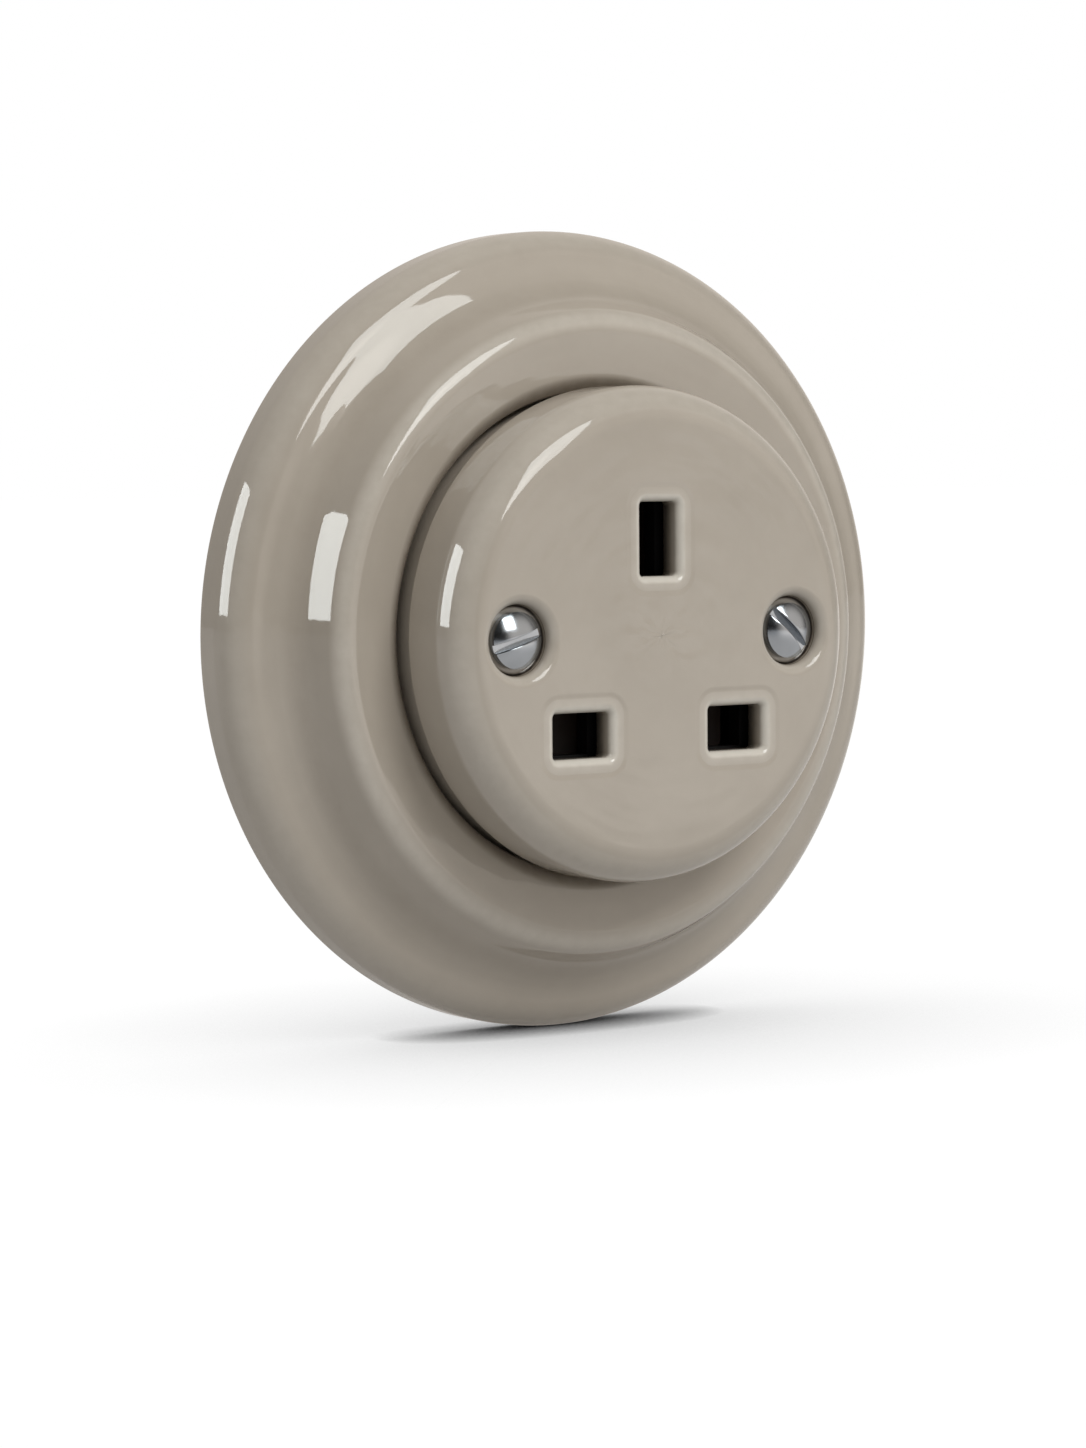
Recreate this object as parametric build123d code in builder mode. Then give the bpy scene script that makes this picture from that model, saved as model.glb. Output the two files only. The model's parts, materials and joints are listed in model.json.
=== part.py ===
from build123d import *
import os

# Porcelain wall socket for a three-pin plug with flat pins, in millimetres.
# The wall is the plane y = 0 and the socket faces -Y. Heights are measured out from the wall,
# so a height h lies at y = -h, and what lies inside the wall box has a negative height.

# Frame ring, its front given as steps inward from the rim: a rise, and a share of the width of the ring's front
frame_radius = 47.2
rim_height = 6.2
slope_rise = 1.0
inner_slope_rise = 1.4
band_height = 14.2
rim_rounding_share = 0.2105
slope_share = 0.2342
slope_blend_share = 0.5263
inner_slope_share = 0.1711
cove_share = 0.2947
flank_share = 0.1316
shoulder_share = 0.1526
well_gap = 0.5
well_lip_radius = 0.5
shelf_height = 8.5
shelf_thickness = 4.2
frame_hole_gap = 1.6
foot_width = 5.0
foot_draft = 1.0
foot_edge = 0.5
ceiling_inset = 1.0
ceiling_drop = 1.9

# Cover
cover_radius = 28.75
cover_height = 24.4
cover_rounding = 4.3
cover_plate = 3.1
cover_wall = 4.15
cover_inner_rounding = 3.0
rim_gap = 0.7
rim_edge = 0.3
skirt_setback = 1.05
skirt_edge = 0.6

# Plug pins and the slots that they enter
pin_pitch = 22.2
live_pin_width = 6.35
live_pin_depth = 4.0
earth_pin_width = 4.0
earth_pin_length = 8.0
live_slot_width = 7.96
live_slot_depth = 5.21
earth_slot_width = 5.3
earth_slot_length = 8.53
slot_corner = 0.5
slot_edge_rounding = 0.95

# Cover screws, their recesses and the pillars that they screw into
screw_spacing = 39.2
recess_radius = 4.1
recess_edge_rounding = 1.3
recess_depth = 2.0
screw_hole_radius = 2.1
boss_top_radius = 5.4
boss_end_radius = 4.2
boss_seat_thickness = 5.1
head_radius = 3.25
head_edge = 1.0
head_dome = 0.95
head_slot_width = 0.95
head_slot_depth = 1.3
left_slot_angle = 17
right_slot_angle = -44
screw_radius = 1.75
screw_tip_height = 5.0
thread_gap = 0.05
pillar_radius = 2.9
pillar_end_gap = 0.4
screw_tip_room = 2.0
pillar_spigot_radius = 1.7
pillar_tail_radius = 2.4

# Steel mounting ring
ring_radius = 35.5
ring_thickness = 1.2
ring_opening_width = 30.6
ring_opening_inset = 2.6
ring_opening_corner = 3.6
box_screw_spacing = 60.3
box_slot_width = 4.0
box_slot_length = 6.0

# Base moulding
base_gap = 1.0
base_depth = 28.5
block_gap = 0.3
block_corner = 3.0
block_chamfer = 1.0
scallop_radius = 5.8
live_pocket_width = 7.0
live_pocket_depth = 7.6
live_pocket_reach = 9.0
earth_pocket_width = 7.8
earth_pocket_length = 9.2
earth_pocket_reach = 12.7
terminal_ceiling_depth = 15.0
slot_gap = 0.2
relief_depth = 3.0
relief_wall = 1.5
relief_corner = 1.2

# Brass contacts, terminals and earth strap
sheet = 0.7
bend_radius = 0.6
mouth_half = 3.0
mouth_depth = 0.6
throat_half = 2.1
throat_depth = 2.6
leaf_foot_half = 2.4
live_contact_width = 5.2
earth_contact_width = 5.6
terminal_width = 8.6
terminal_length = 9.0
terminal_depth = 9.0
terminal_edge = 0.4
terminal_gap = 0.2
live_terminal_x = 9.4
live_terminal_z = -14.2
earth_terminal_z = 13.4
wire_hole_radius = 2.4
wire_hole_setback = 3.4
wire_mouth_radius = 2.9
terminal_screw_reach = 4.6
terminal_head_radius = 2.9
terminal_head_height = 1.8
terminal_slot_width = 0.8
terminal_slot_depth = 0.9
strap_width = 4.6
strap_end_margin = 2.2
strap_drop_z = 17.35
strap_foot_z = 15.2

# Housing, its screws and the rivets
housing_gap = 1.3
housing_height = 8.0
housing_plate = 2.0
housing_wall = 1.2
scallop_wall = 0.9
housing_edge = 1.8
housing_slot_margin = 0.9
housing_earth_margin = 0.7
post_radius = 2.6
housing_screw_places = [(-9.8, 16.6), (9.8, 16.6), (0, -18.0)]
housing_screw_radius = 1.25
housing_screw_depth = 6.5
housing_head_radius = 2.3
housing_head_height = 1.4
screw_clearance = 0.15
rivet_inset = 2.6
rivet_start_angle = 30
rivet_radius = 1.25
rivet_head_radius = 2.1
rivet_head_height = 0.9
rivet_seat_height = 4.2
strap_rivet_setback = 2.2
strap_rivet_radius = 1.1
strap_rivet_head = 1.8

# Shutter and its spring
shutter_travel = 4.9
shutter_thickness = 2.4
shutter_gap = 0.3
shutter_bar_half = 6.0
shutter_tongue_half = 13.7
shutter_tongue_depth = 5.0
shutter_top_z = 16.6
shutter_top_cut = 2.4
shutter_corner = 0.6
window_half = 2.4
ramp_half = 3.4
ramp_rear_gap = 0.6
ramp_back_z = 16.0
lug_half = 3.2
lug_thickness = 1.2
rail_inner = 3.9
rail_width = 1.2
rail_low_z = -7.4
rail_high_z = 16.0
guide_width = 1.0
guide_low_z = -2.5
guide_high_z = 12.5
stop_z = 4.6
stop_thickness = 1.2
spring_rest_length = 10.2
spring_mean_radius = 1.15
spring_wire = 0.36
spring_turns = 7

# Values worked out from the sizes above
pin_half = pin_pitch / 2
screw_x = screw_spacing / 2
live_places = [(-pin_half, -pin_half), (pin_half, -pin_half)]
earth_place = (0, pin_half)
cover_ceiling = cover_height - cover_plate
cover_inner_radius = cover_radius - cover_wall
cover_rim_height = band_height + rim_gap
recess_floor_height = cover_height - recess_depth
boss_end_height = recess_floor_height - boss_seat_thickness
pillar_height = boss_end_height - pillar_end_gap
screw_length = recess_floor_height - screw_tip_height
pillar_bore_floor = screw_tip_height - screw_tip_room
base_radius = cover_inner_radius - base_gap
ring_opening_length = 2 * (base_radius - ring_opening_inset)
rivet_circle = base_radius - rivet_inset
strap_rivet_z = base_radius + strap_rivet_setback
strap_end_z = strap_rivet_z + strap_end_margin
housing_top = cover_ceiling - housing_gap
base_top = housing_top - housing_height
base_rear = base_top - base_depth
live_pocket_floor = base_top - live_pocket_reach
earth_pocket_floor = base_top - earth_pocket_reach
terminal_ceiling = base_top - terminal_ceiling_depth
mouth_height = base_top - mouth_depth
throat_height = base_top - throat_depth
housing_screw_end = base_top - housing_screw_depth
ramp_rear_height = base_top + ramp_rear_gap
skirt_radius = cover_radius - skirt_setback
well_radius = skirt_radius + well_gap
ring_width = frame_radius - well_radius
rim_rounding = rim_rounding_share * ring_width
slope_width = slope_share * ring_width
slope_blend_radius = slope_blend_share * ring_width
inner_slope_width = inner_slope_share * ring_width
cove_radius = cove_share * ring_width
flank_width = flank_share * ring_width
shoulder_rounding = shoulder_share * ring_width
block_width = ring_opening_width - 2 * block_gap
block_length = ring_opening_length - 2 * block_gap
shutter_top = housing_top - housing_plate - shutter_gap
shutter_underside = shutter_top - shutter_thickness
rail_top = shutter_underside - shutter_gap
tongue_low_z = -pin_half - shutter_tongue_depth / 2
window_low_z = pin_half - earth_pin_length / 2 - shutter_travel - slot_gap
spring_low_z = stop_z - spring_rest_length
terminal_front = terminal_ceiling - sheet
terminal_rear = terminal_front - terminal_depth
wire_height = terminal_front - wire_hole_setback


def level(height):
    """Plane parallel to the wall at a height; its x is +X, its y is +Z, and it faces out of the wall."""
    return Plane(origin=(0, -height, 0), x_dir=(1, 0, 0), z_dir=(0, -1, 0))


def section(x=0, z=0):
    """Plane through a line square to the wall; its x is +X and its y is the height."""
    return Plane(origin=(x, 0, z), x_dir=(1, 0, 0), z_dir=(0, 0, -1))


def side_section(x=0):
    """Upright plane; its x is +Z and its y is the height."""
    return Plane(origin=(x, 0, 0), x_dir=(0, 0, 1), z_dir=(1, 0, 0))


def across(z, height):
    """Plane square to Z at a height, for holes and bars along Z."""
    return Plane(origin=(0, -height, z), x_dir=(1, 0, 0), z_dir=(0, 0, 1))


def normal_line(x, z=0):
    """Axis square to the wall through a point of it."""
    return Axis((x, 0, z), (0, 1, 0))


def round_profile_corners(outline, *roundings):
    """Rounds corners of the profile being drawn, each given by its place in it and a fillet radius."""
    for corner, rounding in roundings:
        fillet(outline.vertices().sort_by_distance(corner)[0], radius=rounding)


# Frame ring: rounded rim, bowed slope, cove, leaning flank and flat band, hollow at the back
rim_corner = (frame_radius, rim_height)
slope_bend = (frame_radius - slope_width, rim_height + slope_rise)
valley = (slope_bend[0] - inner_slope_width, slope_bend[1] + inner_slope_rise)
shoulder = (valley[0] - flank_width, band_height)
well_lip = (well_radius, band_height)
shelf_underside = shelf_height - shelf_thickness
frame_hole_radius = base_radius + frame_hole_gap
foot_inner = frame_radius - foot_width

with BuildPart() as frame_ring:
    with BuildSketch(section()) as frame_outline:
        with BuildLine():
            Polyline(
                (frame_radius, 0),
                rim_corner,
                slope_bend,
                valley,
                shoulder,
                well_lip,
                (well_radius, shelf_height),
                (frame_hole_radius, shelf_height),
                (frame_hole_radius, shelf_underside),
                (shoulder[0] - ceiling_inset, shelf_underside),
                (foot_inner - foot_draft, shelf_underside - ceiling_drop),
                (foot_inner, 0),
                close=True,
            )
        make_face()
        round_profile_corners(
            frame_outline,
            (rim_corner, rim_rounding),
            (slope_bend, slope_blend_radius),
            (valley, cove_radius),
            (shoulder, shoulder_rounding),
            (well_lip, well_lip_radius),
            ((frame_radius, 0), foot_edge),
            ((foot_inner, 0), foot_edge),
        )
    revolve(axis=Axis.Y)
frame_ring.part.label = "frame_ring"

# Cover: a pressed cup whose rim overhangs the frame's band and whose skirt stands on its shelf
with BuildPart() as cover:
    with BuildSketch(section()) as cover_outline:
        with BuildLine():
            Polyline(
                (0, cover_ceiling),
                (0, cover_height),
                (cover_radius, cover_height),
                (cover_radius, cover_rim_height),
                (skirt_radius, cover_rim_height),
                (skirt_radius, shelf_height),
                (cover_inner_radius, shelf_height),
                (cover_inner_radius, cover_ceiling),
                close=True,
            )
        make_face()
        round_profile_corners(
            cover_outline,
            ((cover_radius, cover_height), cover_rounding),
            ((cover_radius, cover_rim_height), rim_edge),
            ((skirt_radius, cover_rim_height), rim_edge),
            ((skirt_radius, shelf_height), skirt_edge),
            ((cover_inner_radius, cover_ceiling), cover_inner_rounding),
        )
    revolve(axis=Axis.Y)
    for x in (-screw_x, screw_x):
        with BuildSketch(section(x)):
            with BuildLine():
                Polyline(
                    (0, cover_height - cover_plate / 2),
                    (boss_top_radius, cover_height - cover_plate / 2),
                    (boss_top_radius, cover_ceiling),
                    (boss_end_radius, boss_end_height),
                    (0, boss_end_height),
                    close=True,
                )
            make_face()
        revolve(axis=normal_line(x))
    with BuildSketch(level(cover_height)):
        with Locations(*live_places):
            RectangleRounded(live_slot_width, live_slot_depth, slot_corner)
        with Locations(earth_place):
            RectangleRounded(earth_slot_width, earth_slot_length, slot_corner)
    extrude(amount=-cover_plate, mode=Mode.SUBTRACT)
    slot_edges = cover.faces().sort_by(Axis.Y)[0].inner_wires().edges()
    fillet(slot_edges, radius=slot_edge_rounding)
    for x in (-screw_x, screw_x):
        with BuildSketch(level(cover_height)):
            with Locations((x, 0)):
                Circle(recess_radius)
        extrude(amount=recess_floor_height - cover_height, mode=Mode.SUBTRACT)
        with BuildSketch(level(recess_floor_height)):
            with Locations((x, 0)):
                Circle(screw_hole_radius)
        extrude(amount=boss_end_height - recess_floor_height, mode=Mode.SUBTRACT)
    round_edges = cover.faces().sort_by(Axis.Y)[0].inner_wires().edges().filter_by(GeomType.CIRCLE)
    recess_edges = round_edges.filter_by(lambda edge: edge.radius > recess_radius * 0.9)
    fillet(recess_edges, radius=recess_edge_rounding)
cover.part.label = "cover"


def cover_screw(x, slot_angle):
    """Raised slotted head over a plain shank, standing in the recess at x."""
    head_top = recess_floor_height + head_edge + head_dome
    shank_end = recess_floor_height - screw_length
    with BuildPart() as screw:
        with BuildSketch(section(x)):
            with BuildLine():
                Polyline(
                    (0, head_top),
                    (0, shank_end),
                    (screw_radius, shank_end),
                    (screw_radius, recess_floor_height),
                    (head_radius, recess_floor_height),
                    (head_radius, recess_floor_height + head_edge),
                )
                RadiusArc(
                    (head_radius, recess_floor_height + head_edge),
                    (0, head_top),
                    -(head_radius**2 + head_dome**2) / (2 * head_dome),
                )
            make_face()
        revolve(axis=normal_line(x))
        with BuildSketch(level(head_top)):
            with Locations((x, 0)):
                Rectangle(3 * head_radius, head_slot_width, rotation=slot_angle)
        extrude(amount=-head_slot_depth, mode=Mode.SUBTRACT)
    return screw


cover_screw_left = cover_screw(-screw_x, left_slot_angle)
cover_screw_left.part.label = "cover_screw_left"
cover_screw_right = cover_screw(screw_x, right_slot_angle)
cover_screw_right.part.label = "cover_screw_right"

# Places of the four rivets that hold the base on the ring, two and two either side of the pillars
rivet_places = [
    (location.position.X, location.position.Y)
    for start in (-rivet_start_angle, 180 - rivet_start_angle)
    for location in PolarLocations(rivet_circle, 2, start, 2 * rivet_start_angle, endpoint=True)
]

# Mounting ring: flat steel plate with slots for the two box screws
with BuildPart() as mounting_ring:
    with BuildSketch(level(0)):
        Circle(ring_radius)
        RectangleRounded(ring_opening_width, ring_opening_length, ring_opening_corner, mode=Mode.SUBTRACT)
        with Locations((-box_screw_spacing / 2, 0), (box_screw_spacing / 2, 0)):
            SlotOverall(box_slot_length, box_slot_width, mode=Mode.SUBTRACT)
        with Locations((-screw_x, 0), (screw_x, 0)):
            Circle(pillar_spigot_radius, mode=Mode.SUBTRACT)
        with Locations(*rivet_places):
            Circle(rivet_radius, mode=Mode.SUBTRACT)
        with Locations((0, strap_rivet_z)):
            Circle(strap_rivet_radius, mode=Mode.SUBTRACT)
    extrude(amount=ring_thickness)
mounting_ring.part.label = "mounting_ring"


def screw_pillar(x):
    """Threaded pillar with a spigot riveted over behind the ring."""
    with BuildPart() as pillar:
        with BuildSketch(section(x)):
            with BuildLine():
                Polyline(
                    (0, -rivet_head_height),
                    (pillar_tail_radius, -rivet_head_height),
                    (pillar_tail_radius, 0),
                    (pillar_spigot_radius, 0),
                    (pillar_spigot_radius, ring_thickness),
                    (pillar_radius, ring_thickness),
                    (pillar_radius, pillar_height),
                    (screw_radius + thread_gap, pillar_height),
                    (screw_radius + thread_gap, pillar_bore_floor),
                    (0, pillar_bore_floor),
                    close=True,
                )
            make_face()
        revolve(axis=normal_line(x))
    return pillar


screw_pillar_left = screw_pillar(-screw_x)
screw_pillar_left.part.label = "screw_pillar_left"
screw_pillar_right = screw_pillar(screw_x)
screw_pillar_right.part.label = "screw_pillar_right"

# Socket base: round front on the ring, block through it into the wall box, pockets for the brass
terminal_places = [
    (-live_terminal_x, live_terminal_z),
    (live_terminal_x, live_terminal_z),
    (0, earth_terminal_z),
]
stem_z = -pin_half - leaf_foot_half
stem_slot = sheet + 2 * slot_gap

with BuildPart() as socket_base:
    with BuildSketch(level(ring_thickness)):
        Circle(base_radius)
        with Locations((-screw_x, 0), (screw_x, 0)):
            Circle(scallop_radius, mode=Mode.SUBTRACT)
    extrude(amount=base_top - ring_thickness)
    with BuildSketch(level(base_rear)):
        RectangleRounded(block_width, block_length, block_corner)
    extrude(amount=ring_thickness - base_rear)
    chamfer(socket_base.faces().sort_by(Axis.Y)[-1].outer_wire().edges(), length=block_chamfer)
    # Rails and stop that the shutter and its spring work against
    with BuildSketch(level(base_top)):
        rail_length = rail_high_z - rail_low_z
        rail_mid_z = (rail_high_z + rail_low_z) / 2
        rail_x = rail_inner + rail_width / 2
        with Locations((-rail_x, rail_mid_z), (rail_x, rail_mid_z)):
            Rectangle(rail_width, rail_length)
        with Locations((0, stop_z + stop_thickness / 2)):
            Rectangle(2 * rail_inner, stop_thickness)
    extrude(amount=rail_top - base_top)
    # Contact pockets, open to the front
    with BuildSketch(level(base_top)):
        with Locations(*live_places):
            Rectangle(live_pocket_width, live_pocket_depth)
    extrude(amount=live_pocket_floor - base_top, mode=Mode.SUBTRACT)
    with BuildSketch(level(base_top)):
        with Locations(earth_place):
            Rectangle(earth_pocket_width, earth_pocket_length)
    extrude(amount=earth_pocket_floor - base_top, mode=Mode.SUBTRACT)
    # Terminal pockets, open to the rear, with a mouth for each wire
    with BuildSketch(level(terminal_ceiling)):
        with Locations(*terminal_places):
            Rectangle(terminal_width + 2 * terminal_gap, terminal_length + 2 * terminal_gap)
    extrude(amount=base_rear - terminal_ceiling, mode=Mode.SUBTRACT)
    # Shallow reliefs between the terminal pockets, which leave walls and a middle rib at the rear
    pocket_half_width = terminal_width / 2 + terminal_gap
    pocket_half_length = terminal_length / 2 + terminal_gap
    between_width = 2 * (live_terminal_x - pocket_half_width - relief_wall)
    beside_inner = pocket_half_width + relief_wall
    beside_outer = block_width / 2 - relief_wall
    middle_low_z = live_terminal_z + pocket_half_length + relief_wall
    middle_high_z = earth_terminal_z - pocket_half_length - relief_wall
    middle_x = (beside_outer + relief_wall / 2) / 2
    beside_x = (beside_inner + beside_outer) / 2
    with BuildSketch(level(base_rear)):
        with Locations((0, live_terminal_z)):
            RectangleRounded(between_width, terminal_length, relief_corner)
        with Locations((-beside_x, earth_terminal_z), (beside_x, earth_terminal_z)):
            RectangleRounded(beside_outer - beside_inner, terminal_length, relief_corner)
        middle_z = (middle_low_z + middle_high_z) / 2
        with Locations((-middle_x, middle_z), (middle_x, middle_z)):
            RectangleRounded(beside_outer - relief_wall / 2, middle_high_z - middle_low_z, relief_corner)
    extrude(amount=relief_depth, mode=Mode.SUBTRACT)
    mouth_reach = (block_length - terminal_length) / 2 - abs(live_terminal_z)
    with BuildSketch(across(-block_length / 2, wire_height)):
        with Locations((-live_terminal_x, 0), (live_terminal_x, 0)):
            Circle(wire_mouth_radius)
    extrude(amount=mouth_reach, mode=Mode.SUBTRACT)
    with BuildSketch(across(block_length / 2, wire_height)):
        Circle(wire_mouth_radius)
    extrude(amount=-(block_length - terminal_length) / 2 + earth_terminal_z, mode=Mode.SUBTRACT)
    # Slots through the floors for the contact stems and the earth strap
    with BuildSketch(level(live_pocket_floor)):
        with Locations((-pin_half, stem_z), (pin_half, stem_z)):
            Rectangle(live_contact_width + 2 * slot_gap, stem_slot)
    extrude(amount=terminal_ceiling - live_pocket_floor, mode=Mode.SUBTRACT)
    with BuildSketch(level(earth_pocket_floor)):
        with Locations((leaf_foot_half, earth_terminal_z - (terminal_length - earth_contact_width) / 2)):
            Rectangle(stem_slot, earth_contact_width + 2 * slot_gap)
    extrude(amount=terminal_ceiling - earth_pocket_floor, mode=Mode.SUBTRACT)
    strap_slot_top = ring_thickness + sheet + slot_gap
    strap_slot_low = strap_drop_z - sheet / 2 - slot_gap
    with BuildSketch(level(ring_thickness)):
        with Locations((0, (strap_slot_low + base_radius) / 2)):
            Rectangle(strap_width + 2 * slot_gap, base_radius - strap_slot_low)
    extrude(amount=strap_slot_top - ring_thickness, mode=Mode.SUBTRACT)
    with BuildSketch(level(strap_slot_top)):
        with Locations((0, strap_drop_z)):
            Rectangle(strap_width + 2 * slot_gap, stem_slot)
    extrude(amount=terminal_ceiling - strap_slot_top, mode=Mode.SUBTRACT)
    # Seats for the rivets and threads for the housing screws
    with BuildSketch(level(base_top)):
        with Locations(*rivet_places):
            Circle(rivet_head_radius + screw_clearance)
    extrude(amount=rivet_seat_height - base_top, mode=Mode.SUBTRACT)
    with BuildSketch(level(rivet_seat_height)):
        with Locations(*rivet_places):
            Circle(rivet_radius)
    extrude(amount=ring_thickness - rivet_seat_height, mode=Mode.SUBTRACT)
    with BuildSketch(level(base_top)):
        with Locations(*housing_screw_places):
            Circle(housing_screw_radius + thread_gap)
    extrude(amount=housing_screw_end - base_top, mode=Mode.SUBTRACT)
socket_base.part.label = "socket_base"

# Shutter housing: shell over the shutter, with slots for the pins and posts for its screws
shell_height = housing_top - housing_plate
guide_x = shutter_bar_half + shutter_gap + guide_width / 2
guide_mid_z = (guide_low_z + guide_high_z) / 2

with BuildPart() as shutter_housing:
    with BuildSketch(level(base_top)):
        Circle(base_radius)
    extrude(amount=housing_top - base_top)
    fillet(shutter_housing.faces().sort_by(Axis.Y)[0].edges(), radius=housing_edge)
    with BuildSketch(level(base_top)):
        with Locations((-screw_x, 0), (screw_x, 0)):
            Circle(scallop_radius)
    extrude(amount=housing_top - base_top, mode=Mode.SUBTRACT)
    with BuildSketch(level(base_top)):
        Circle(base_radius - housing_wall)
        with Locations((-screw_x, 0), (screw_x, 0)):
            Circle(scallop_radius + scallop_wall, mode=Mode.SUBTRACT)
    extrude(amount=shell_height - base_top, mode=Mode.SUBTRACT)
    with BuildSketch(level(base_top)):
        with Locations(*housing_screw_places):
            Circle(post_radius)
    extrude(amount=shell_height - base_top)
    with BuildSketch(level(shutter_underside)):
        with Locations((-guide_x, guide_mid_z), (guide_x, guide_mid_z)):
            Rectangle(guide_width, guide_high_z - guide_low_z)
    extrude(amount=shell_height - shutter_underside)
    with BuildSketch(level(housing_top)):
        with Locations(*live_places):
            Rectangle(live_pin_width + housing_slot_margin, live_pin_depth + housing_slot_margin)
        with Locations(earth_place):
            Rectangle(earth_pin_width + housing_earth_margin, earth_pin_length + housing_earth_margin)
    extrude(amount=-housing_plate, mode=Mode.SUBTRACT)
    with Locations(level(housing_top)):
        with Locations(*housing_screw_places):
            CounterBoreHole(
                radius=housing_screw_radius + screw_clearance,
                counter_bore_radius=housing_head_radius + screw_clearance,
                counter_bore_depth=housing_head_height,
                depth=housing_top - base_top,
            )
shutter_housing.part.label = "shutter_housing"

# Shutter: two tongues over the live slots, a window for the earth pin and a ramp that the pin lifts
ramp_foot_z = pin_half + earth_pin_length / 2 + slot_gap
ramp_tip_z = ramp_foot_z - (shutter_top - ramp_rear_height)

with BuildPart() as shutter:
    with BuildSketch(level(shutter_underside)) as shutter_outline:
        bar_length = shutter_top_z - tongue_low_z
        with Locations((0, tongue_low_z + bar_length / 2)):
            Rectangle(2 * shutter_bar_half, bar_length)
        chamfer(shutter_outline.vertices().group_by(Axis.Y)[-1], length=shutter_top_cut)
        with Locations((0, -pin_half)):
            Rectangle(2 * shutter_tongue_half, shutter_tongue_depth)
        tongue_corners = shutter_outline.vertices().filter_by(
            lambda corner: abs(corner.X) > shutter_bar_half + shutter_corner
        )
        fillet(tongue_corners, radius=shutter_corner)
        with Locations((0, (window_low_z + ramp_foot_z) / 2)):
            Rectangle(2 * window_half, ramp_foot_z - window_low_z, mode=Mode.SUBTRACT)
    extrude(amount=shutter_thickness)
    with BuildSketch(side_section()):
        with BuildLine():
            Polyline(
                (ramp_foot_z, shutter_top),
                (ramp_back_z, shutter_top),
                (ramp_back_z, shutter_underside),
                (ramp_tip_z + shutter_thickness, ramp_rear_height),
                (ramp_tip_z, ramp_rear_height),
                close=True,
            )
        make_face()
    extrude(amount=ramp_half, both=True)
    with BuildSketch(level(base_top + slot_gap)):
        with Locations((0, spring_low_z - lug_thickness / 2)):
            Rectangle(2 * lug_half, lug_thickness)
    extrude(amount=shutter_underside - base_top - slot_gap)
shutter.part.label = "shutter"

# Shutter spring, lying in the trough between the rails
spring_height = base_top + spring_mean_radius + spring_wire / 2 + slot_gap
spring_plane = Plane(
    origin=(0, -spring_height, spring_low_z + spring_wire / 2), x_dir=(1, 0, 0), z_dir=(0, 0, 1)
)
coil_length = spring_rest_length - spring_wire

with BuildPart() as shutter_spring:
    with BuildLine(spring_plane):
        coil = Helix(coil_length / spring_turns, coil_length, spring_mean_radius)
    with BuildSketch(Plane(origin=coil @ 0, z_dir=coil % 0)):
        Circle(spring_wire / 2)
    sweep(path=coil, is_frenet=True)
shutter_spring.part.label = "shutter_spring"


def jaw_points(foot_height):
    """Half of a pin jaw, from its flared mouth to its web, as distance from the pin's middle and height."""
    return [
        (mouth_half, mouth_height),
        (throat_half, throat_height),
        (leaf_foot_half, foot_height),
    ]


def live_contact(x):
    """Sprung jaw round a live pin, with a stem down to its terminal, bent from one strip."""
    web_height = live_pocket_floor + sheet / 2
    upper = [(-pin_half + half, height) for half, height in jaw_points(web_height)]
    lower = [(-pin_half - half, height) for half, height in jaw_points(web_height)]
    foot_z = live_terminal_z - terminal_length / 2 + sheet
    with BuildPart() as contact:
        with BuildSketch(side_section(x)):
            with BuildLine():
                FilletPolyline(*upper, *reversed(lower), radius=bend_radius)
            trace(line_width=sheet)
            with BuildLine():
                FilletPolyline(
                    (stem_z, web_height + bend_radius * 2),
                    (stem_z, terminal_ceiling - sheet / 2),
                    (foot_z, terminal_ceiling - sheet / 2),
                    radius=bend_radius,
                )
            trace(line_width=sheet)
        extrude(amount=live_contact_width / 2, both=True)
    return contact


neutral_contact = live_contact(-pin_half)
neutral_contact.part.label = "neutral_contact"
line_contact = live_contact(pin_half)
line_contact.part.label = "line_contact"

# Earth contact: the same jaw turned a quarter, deeper for the long pin
earth_contact_z = earth_terminal_z - (terminal_length - earth_contact_width) / 2
earth_web_height = earth_pocket_floor + sheet / 2

with BuildPart() as earth_contact:
    with BuildSketch(section(0, earth_contact_z)):
        with BuildLine():
            right_leaf = jaw_points(earth_web_height)
            left_leaf = [(-half, height) for half, height in right_leaf]
            FilletPolyline(*right_leaf, *reversed(left_leaf), radius=bend_radius)
        trace(line_width=sheet)
        with BuildLine():
            FilletPolyline(
                (leaf_foot_half, earth_web_height + bend_radius * 2),
                (leaf_foot_half, terminal_ceiling - sheet / 2),
                (-leaf_foot_half, terminal_ceiling - sheet / 2),
                radius=bend_radius,
            )
        trace(line_width=sheet)
    extrude(amount=earth_contact_width / 2, both=True)
earth_contact.part.label = "earth_contact"


def terminal(x, z):
    """Brass block with a wire hole along Z and a threaded hole from the rear."""
    with BuildPart() as block:
        with BuildSketch(level(terminal_rear)):
            with Locations((x, z)):
                Rectangle(terminal_width, terminal_length)
        extrude(amount=terminal_depth)
        chamfer(block.edges().filter_by(Axis.Y), length=terminal_edge)
        with BuildSketch(across(z, wire_height)):
            with Locations((x, 0)):
                Circle(wire_hole_radius)
        extrude(amount=terminal_length, both=True, mode=Mode.SUBTRACT)
        with BuildSketch(level(terminal_rear)):
            with Locations((x, z)):
                Circle(screw_radius + thread_gap)
        extrude(amount=wire_height - terminal_rear, mode=Mode.SUBTRACT)
    return block


neutral_terminal = terminal(*terminal_places[0])
neutral_terminal.part.label = "neutral_terminal"
line_terminal = terminal(*terminal_places[1])
line_terminal.part.label = "line_terminal"
earth_terminal = terminal(*terminal_places[2])
earth_terminal.part.label = "earth_terminal"


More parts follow.
